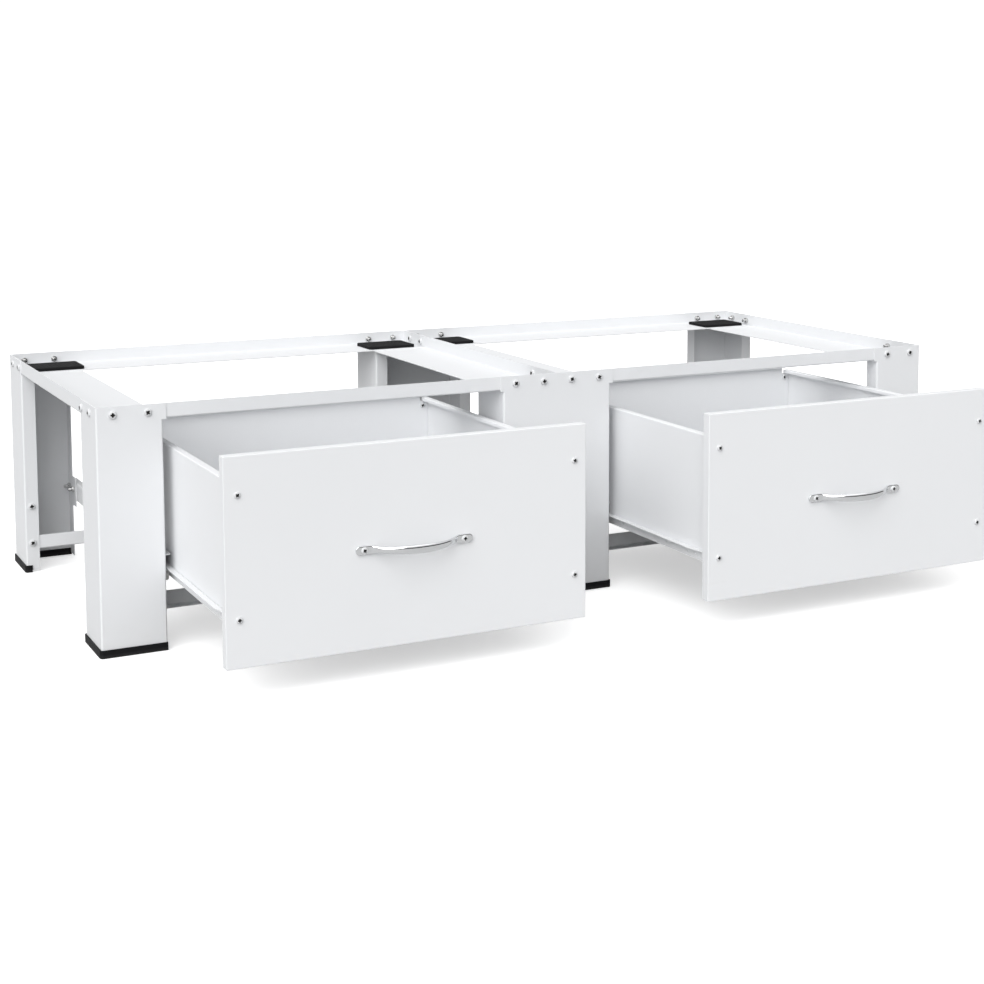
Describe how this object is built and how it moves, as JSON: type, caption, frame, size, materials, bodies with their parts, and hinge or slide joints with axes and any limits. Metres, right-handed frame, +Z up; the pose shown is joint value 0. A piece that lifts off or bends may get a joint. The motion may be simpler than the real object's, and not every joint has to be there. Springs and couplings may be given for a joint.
{
  "type": "laundry pedestal",
  "caption": "Folded sheet-steel laundry pedestal that lifts machines side by side, with rubber pads on the deck and wide roller drawers with bow handles below.",
  "frame": {"origin": "on the floor, under the middle of the frame's feet", "axes": "+X to the right seen from the front, +Y to the back, +Z up; the drawers open towards -Y"},
  "size_m": [1.2656, 0.8208, 0.31],
  "materials": {
    "frame_paint": "fine-grained white powder coat",
    "drawer_paint": "smooth white powder coat",
    "runner_paint": "white stove enamel, rubbed along the tracks",
    "zinc_steel": "bright zinc plate",
    "handle_chrome": "polished plate",
    "pad_rubber": "matt black rubber",
    "foot_plastic": "matt black moulding",
    "roller_plastic": "natural nylon"
  },
  "bodies": {
    "frame": {"back_left_leg": "frame_paint", "back_middle_leg": "frame_paint", "back_right_leg": "frame_paint", "corner_feet": "foot_plastic", "frame_bolts": "zinc_steel", "frame_nuts": "zinc_steel", "front_left_leg": "frame_paint", "front_middle_leg": "frame_paint", "front_right_leg": "frame_paint", "front_roller_axles": "zinc_steel", "left_bay_back_rail": "frame_paint", "left_bay_front_rail": "frame_paint", "left_bay_inner_rail": "frame_paint", "left_bay_left_runner": "runner_paint", "left_bay_lower_back_rail": "frame_paint", "left_bay_lower_front_rail": "frame_paint", "left_bay_outer_rail": "frame_paint", "left_bay_pads": "pad_rubber", "left_bay_right_runner": "runner_paint", "middle_feet": "foot_plastic", "right_bay_back_rail": "frame_paint", "right_bay_front_rail": "frame_paint", "right_bay_inner_rail": "frame_paint", "right_bay_left_runner": "runner_paint", "right_bay_lower_back_rail": "frame_paint", "right_bay_lower_front_rail": "frame_paint", "right_bay_outer_rail": "frame_paint", "right_bay_pads": "pad_rubber", "right_bay_right_runner": "runner_paint"},
    "left_drawer": {"left_drawer_back": "drawer_paint", "left_drawer_bottom": "drawer_paint", "left_drawer_box_screws": "zinc_steel", "left_drawer_front": "drawer_paint", "left_drawer_front_screws": "zinc_steel", "left_drawer_handle": "handle_chrome", "left_drawer_left_rail": "runner_paint", "left_drawer_left_side": "drawer_paint", "left_drawer_rear_roller_axles": "zinc_steel", "left_drawer_right_rail": "runner_paint", "left_drawer_right_side": "drawer_paint"},
    "right_drawer": {"right_drawer_back": "drawer_paint", "right_drawer_bottom": "drawer_paint", "right_drawer_box_screws": "zinc_steel", "right_drawer_front": "drawer_paint", "right_drawer_front_screws": "zinc_steel", "right_drawer_handle": "handle_chrome", "right_drawer_left_rail": "runner_paint", "right_drawer_left_side": "drawer_paint", "right_drawer_rear_roller_axles": "zinc_steel", "right_drawer_right_rail": "runner_paint", "right_drawer_right_side": "drawer_paint"},
    "left_bay_left_front_roller": {"left_bay_left_front_roller": "roller_plastic"},
    "left_bay_right_front_roller": {"left_bay_right_front_roller": "roller_plastic"},
    "left_drawer_left_rear_roller": {"left_drawer_left_rear_roller": "roller_plastic"},
    "left_drawer_right_rear_roller": {"left_drawer_right_rear_roller": "roller_plastic"},
    "right_bay_left_front_roller": {"right_bay_left_front_roller": "roller_plastic"},
    "right_bay_right_front_roller": {"right_bay_right_front_roller": "roller_plastic"},
    "right_drawer_left_rear_roller": {"right_drawer_left_rear_roller": "roller_plastic"},
    "right_drawer_right_rear_roller": {"right_drawer_right_rear_roller": "roller_plastic"}
  },
  "joints": [
    {"name": "left_drawer_slide", "type": "slide", "parent": "frame", "child": "left_drawer", "axis": [0, -1, 0], "range_m": [-0.235, 0.11]},
    {"name": "left_bay_left_front_roller_spin", "type": "hinge", "parent": "frame", "child": "left_bay_left_front_roller", "pos_m": [-0.542, -0.24, 0.0895], "axis": [1, 0, 0], "continuous": true},
    {"name": "left_drawer_left_rear_roller_spin", "type": "hinge", "parent": "left_drawer", "child": "left_drawer_left_rear_roller", "pos_m": [-0.54125, -0.058, 0.1025], "axis": [1, 0, 0], "continuous": true},
    {"name": "left_bay_right_front_roller_spin", "type": "hinge", "parent": "frame", "child": "left_bay_right_front_roller", "pos_m": [-0.0885, -0.24, 0.0895], "axis": [1, 0, 0], "continuous": true},
    {"name": "left_drawer_right_rear_roller_spin", "type": "hinge", "parent": "left_drawer", "child": "left_drawer_right_rear_roller", "pos_m": [-0.08925, -0.058, 0.1025], "axis": [1, 0, 0], "continuous": true},
    {"name": "right_drawer_slide", "type": "slide", "parent": "frame", "child": "right_drawer", "axis": [0, -1, 0], "range_m": [-0.25, 0.095]},
    {"name": "right_bay_left_front_roller_spin", "type": "hinge", "parent": "frame", "child": "right_bay_left_front_roller", "pos_m": [0.0885, -0.24, 0.0895], "axis": [1, 0, 0], "continuous": true},
    {"name": "right_drawer_left_rear_roller_spin", "type": "hinge", "parent": "right_drawer", "child": "right_drawer_left_rear_roller", "pos_m": [0.08925, -0.073, 0.1025], "axis": [1, 0, 0], "continuous": true},
    {"name": "right_bay_right_front_roller_spin", "type": "hinge", "parent": "frame", "child": "right_bay_right_front_roller", "pos_m": [0.542, -0.24, 0.0895], "axis": [1, 0, 0], "continuous": true},
    {"name": "right_drawer_right_rear_roller_spin", "type": "hinge", "parent": "right_drawer", "child": "right_drawer_right_rear_roller", "pos_m": [0.54125, -0.073, 0.1025], "axis": [1, 0, 0], "continuous": true}
  ],
  "couplings": [
    {"joint": "left_bay_left_front_roller_spin", "follows": "left_drawer_slide", "rad_per_m": 111.11},
    {"joint": "left_drawer_left_rear_roller_spin", "follows": "left_drawer_slide", "rad_per_m": 83.333},
    {"joint": "left_bay_right_front_roller_spin", "follows": "left_drawer_slide", "rad_per_m": 111.11},
    {"joint": "left_drawer_right_rear_roller_spin", "follows": "left_drawer_slide", "rad_per_m": 83.333},
    {"joint": "right_bay_left_front_roller_spin", "follows": "right_drawer_slide", "rad_per_m": 111.11},
    {"joint": "right_drawer_left_rear_roller_spin", "follows": "right_drawer_slide", "rad_per_m": 83.333},
    {"joint": "right_bay_right_front_roller_spin", "follows": "right_drawer_slide", "rad_per_m": 111.11},
    {"joint": "right_drawer_right_rear_roller_spin", "follows": "right_drawer_slide", "rad_per_m": 83.333}
  ]
}
